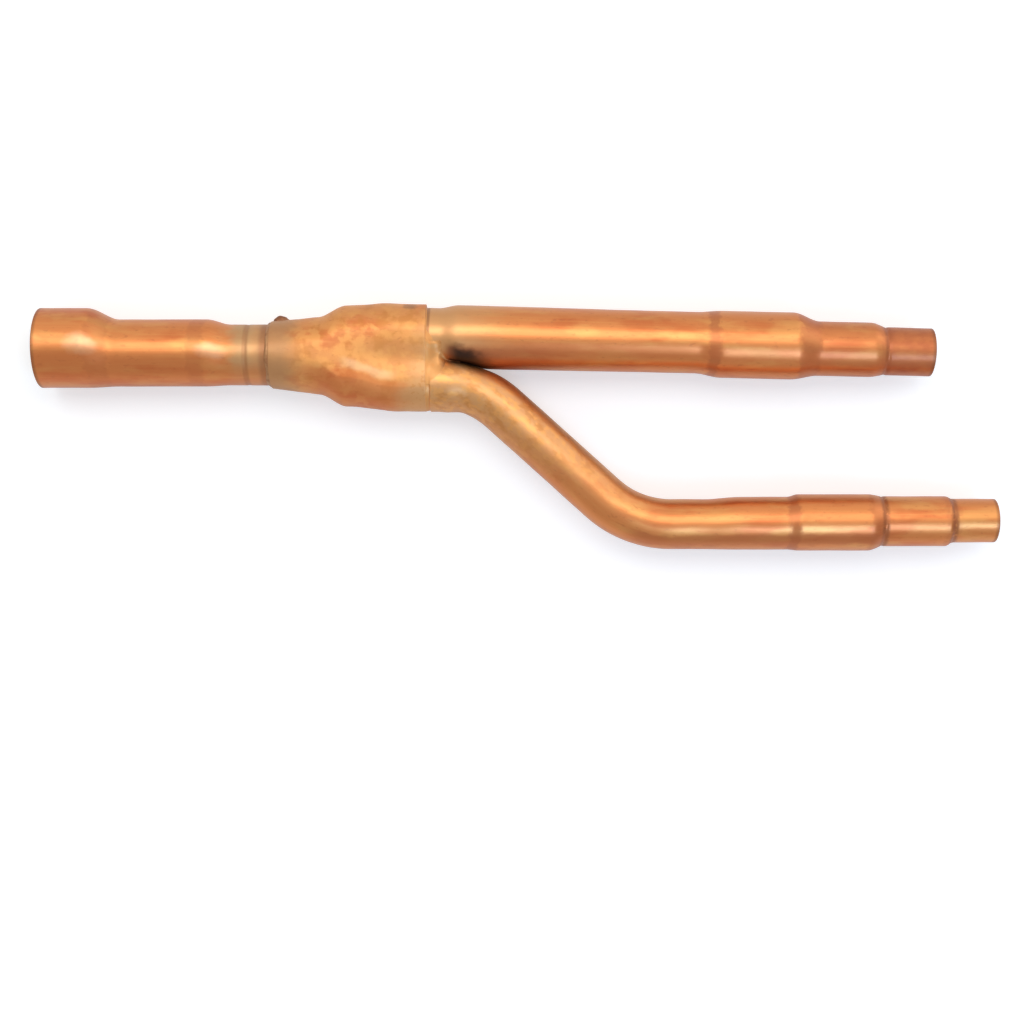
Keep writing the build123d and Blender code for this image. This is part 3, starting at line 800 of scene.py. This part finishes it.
def branch_finish():
    """The branch tube's copper, tanned at its neck and banded at its steps, with painted shade: near-black
    in the crotch and red along its lower flank from the second bend.
    """
    surface = Surface("branch_copper")
    ragged = surface.noise(4, 1.5, 4, 41.0)
    torched = (surface.along - surface.aside * 3 + (ragged - 0.5) * 30).between(150, 60)
    # Painted shade: near-black on the branch's upper flank, its wall of the valley at the crotch.
    painted_crotch_shade = (surface.along + (ragged - 0.5) * 6).between(44, 34) * surface.along.between(22, 27)
    upper = (surface.aside + (ragged - 0.5) * 2).between(8.5, 11.0)
    flaky = surface.noise(3.0, 1.5, 5, 43.0).between(0.46, 0.63) * 0.85
    blotchy = surface.noise(5.0, 1.6, 5, 47.0).between(0.46, 0.64) * 0.6
    # Painted shade: a red streak along the branch's lower flank, from the second bend on.
    painted_flank_shade = (surface.aside + (ragged - 0.5) * 3).near(-8.5, 1.5, 2.5)
    painted_flank_shade = painted_flank_shade * surface.along.near(205, 55, 15)
    bands = [(branch_swell.end + 2, 1.5, 0.6)]
    bands += [(branch_big.end + 3, 2.5, 0.4), (branch_last.start - 3, 2.5, 0.3)]
    layers = worked_bands(surface, bands) + dirty_grooves(surface, [MIDDLE_GROOVE, LAST_GROOVE]) + [
        Layer(painted_flank_shade * 0.6, RED_OXIDE_AND_SHADE, 0.36, 1.0),
        Layer(torched * 0.7, TAN_TINT, 0.48, 1.0),
        Layer(torched * blotchy, DEEP_ORANGE, 0.50, 1.0),
        Layer(torched * flaky, YELLOW_COPPER, 0.40, 1.0),
        Layer(painted_crotch_shade * upper * 0.9, PAINTED_SHADE_BLACK, 0.6, 1.0),
        dark_lip(surface, branch_last.end),
        dull_inside(surface),
    ]
    colour = copper_colour(surface, BRIGHT_COPPER)
    return surface.finished(colour, copper_roughness(surface, 0.27), layers, drawn_height(surface))


def body_finish():
    """The body's matt pressed copper, with a painted highlight along its ridge and painted shade in red
    below it, and tan at both brazed ends.
    """
    surface = Surface("body_copper")
    ragged = surface.noise(7, 1.2, 4, 51.0)
    yellow = surface.noise(6, 1, 5, 53.0).between(0.45, 0.61)
    orange = surface.noise(8, 1, 5, 65.0).between(0.48, 0.62)
    ridge = surface.aside + 9.3 + 6.8 * surface.along.between(150, 180) + (ragged - 0.5) * 4
    # Painted highlight: a pale streak along the ridge where the flat top turns down.
    painted_ridge_highlight = ridge.near(0.8, 0.6, 3.0)
    painted_ridge_highlight = painted_ridge_highlight * surface.along.between(150, 157) * surface.along.between(182, 174)
    # Painted shade: red below the ridge, on the side that faces away from the light.
    painted_shade_below_ridge = ridge.between(-0.5, -3.5) * surface.along.between(132, 142)
    collar = (surface.along + (ragged - 0.5) * 9).between(136, 122)
    mouth = (surface.along + (ragged - 0.5) * 16 - surface.aside * 0.35).between(184, 200)
    specks = surface.noise(2.2, 1, 3, 57.0).between(0.58, 0.66) * mouth
    stain = surface.patch(186.5, 20.0, 4.0, 2.0, surface.noise(2, 1, 4, 55.0))
    layers = [
        Layer(orange * 0.45, DEEP_ORANGE, 0.52, 1.0),
        Layer(yellow * 0.75, YELLOW_COPPER, 0.50, 1.0),
        Layer(painted_shade_below_ridge * 0.5, RED_COPPER, 0.50, 1.0),
        Layer(painted_ridge_highlight * 0.28, PAINTED_HIGHLIGHT_COPPER, 0.45, 1.0),
        Layer(collar * 0.85, SCORCH, 0.52, 0.95),
        Layer(mouth * 0.8, TAN_TINT, 0.50, 1.0),
        Layer(specks * 0.35, DEEP_ORANGE, 0.55, 1.0),
        Layer(stain * 0.6, BROWN_OXIDE_AND_SHADE, 0.55, 1.0),
        Layer(surface.depth.between(0.3, 1.0), INSIDE_BROWN, 0.5, 1.0),
    ]
    height = surface.noise(4.5, 1, 3, 59.0) * 0.16 + surface.noise(1.3, 1, 4, 61.0) * 0.03
    colour = copper_colour(surface, BODY_COPPER)
    return surface.finished(colour, copper_roughness(surface, 0.47), layers, height)


def braze_finish(name, pale, dark, share):
    """Dull braze metal with darker flux stains, burnt on the collar's drip, and with painted shade deep in
    the crotch.
    """
    surface = Surface(name)
    stains = surface.noise(3, 1, 5, 63.0).between(0.42, 0.66)
    colour = surface.mixed(stains * share, pale, dark)
    drip = surface.aside.between(11.2, 12.2) * surface.along.between(136, 130)
    # Painted shade: brown where the crotch deepens between the tubes.
    deep = (surface.along + stains * 2).between(MOUTH_X + 6, MOUTH_X + 14)
    colour = surface.mixed((drip + deep) * 0.85, colour, BROWN_OXIDE_AND_SHADE)
    height = surface.noise(2.4, 1, 4, 67.0) * 0.10
    return surface.finished(colour, 0.48 + 0.12 * stains, [], height)


def seat_piece(piece, node, finish):
    """Lets a piece stand for its node and its finish."""
    piece.data.materials.append(finish)
    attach(piece, "root")
    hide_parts(node)


# Camera straight above the joint, and lamps, in metres
CAMERA_PLACE = (0.2374, -0.0828, 0.777)
CAMERA_LENS = 54.08
TABLE_REACH = 4.0
Lamp = namedtuple("Lamp", "name place width depth glow colour")
MAIN_LAMP = Lamp("main_lamp", (0.135, 0.41, 1.3), 1.2, 0.65, 2.0, (1.0, 0.98, 0.96))
SIDE_LAMP = Lamp("side_lamp", (0.61, -0.51, 0.80), 0.32, 0.36, 6.0, (0.36, 0.62, 1.0))


def add_camera():
    """The overhead camera, level with the table's edges."""
    data = bpy.data.cameras.new("overhead")
    data.lens = CAMERA_LENS
    data.sensor_width = 36
    camera = bpy.data.objects.new("overhead", data)
    camera.location = CAMERA_PLACE
    bpy.context.scene.collection.objects.link(camera)
    bpy.context.scene.camera = camera


def add_lamp(lamp, aim):
    """A flat lamp turned to a point. Its power is its glow times its area times pi."""
    data = bpy.data.lights.new(lamp.name, "AREA")
    data.shape = "RECTANGLE"
    data.size = lamp.width
    data.size_y = lamp.depth
    data.energy = lamp.glow * lamp.width * lamp.depth * pi
    data.color = lamp.colour
    holder = bpy.data.objects.new(lamp.name, data)
    holder.location = lamp.place
    toward = Vector(aim) - Vector(lamp.place)
    holder.rotation_euler = toward.to_track_quat("-Z", "Y").to_euler()
    bpy.context.scene.collection.objects.link(holder)


def add_table():
    """A pale table under the joint. It glows a little where it is seen, which keeps it white."""
    low = cad_box[0][2] / MM
    reach = TABLE_REACH / MM
    corners = [[-reach, -reach, low], [reach, -reach, low], [reach, reach, low], [-reach, reach, low]]
    table = fill_mesh("table", np.array(corners), np.arange(4), np.array([4]))
    material = bpy.data.materials.new("table_white")
    material.use_nodes = True
    material.node_tree.nodes.clear()
    paint = Field(material.node_tree)
    seen = paint.node("ShaderNodeLightPath", {}, {}, "Is Camera Ray")
    mirrored = seen.beside("Is Glossy Ray") + seen.beside("Is Transmission Ray")
    matt = paint.node("ShaderNodeBsdfDiffuse", {}, {"Color": (0.74, 0.74, 0.74, 1)})
    glow = paint.node("ShaderNodeEmission", {}, {"Strength": seen * 0.42 + mirrored * 0.05})
    both = paint.node("ShaderNodeAddShader", {}, {0: matt, 1: glow})
    paint.node("ShaderNodeOutputMaterial", {}, {"Surface": both})
    table.data.materials.append(material)


def add_room():
    """An even room, brighter toward +Y, and most between +X and +Y."""
    world = bpy.data.worlds.new("room")
    world.use_nodes = True
    world.node_tree.nodes.clear()
    room = Field(world.node_tree)
    direction = room.node("ShaderNodeTexCoord", {}, {}, "Generated")
    across = room.node("ShaderNodeSeparateXYZ", {}, {"Vector": direction}, "X")
    behind = across.beside("Y").between(-0.1, 0.5)
    glow = 0.54 + behind * (0.30 + 0.55 * across.between(0.2, 0.6))
    glow = glow + (0.62 - glow) * across.beside("Z").between(0.2, 0.0)
    background = room.node("ShaderNodeBackground", {}, {"Color": (1, 1, 1, 1), "Strength": glow})
    room.node("ShaderNodeOutputWorld", {}, {"Surface": background})
    bpy.context.scene.world = world


stub = make_piece("stub", [stub_skin()])
seat_piece(stub, "inlet_stub", stub_finish())
body = make_piece("body", [body_skin()])
seat_piece(body, "y_body", body_finish())
run = make_piece("run", [run_skin()])
seat_piece(run, "run_tube", run_finish())
branch = make_piece("branch", [branch_skin()])
seat_piece(branch, "branch_tube", branch_finish())
collar_metal = braze_finish("inlet_braze_metal", BRAZE_BROWN, GROOVE_BROWN, 0.5)
collar_braze = make_piece("collar_braze", inlet_braze_skins())
seat_piece(collar_braze, "inlet_braze", collar_metal)
crotch_metal = braze_finish("outlet_braze_metal", BRAZE_TAN, YELLOW_COPPER, 0.5)
crotch_braze = make_piece("crotch_braze", outlet_braze_skins())
seat_piece(crotch_braze, "outlet_braze", crotch_metal)

add_camera()
add_lamp(MAIN_LAMP, (0.135, -0.04, 0))
add_lamp(SIDE_LAMP, (0.40, -0.05, 0))
add_table()
add_room()
bpy.context.scene.view_settings.view_transform = "Standard"
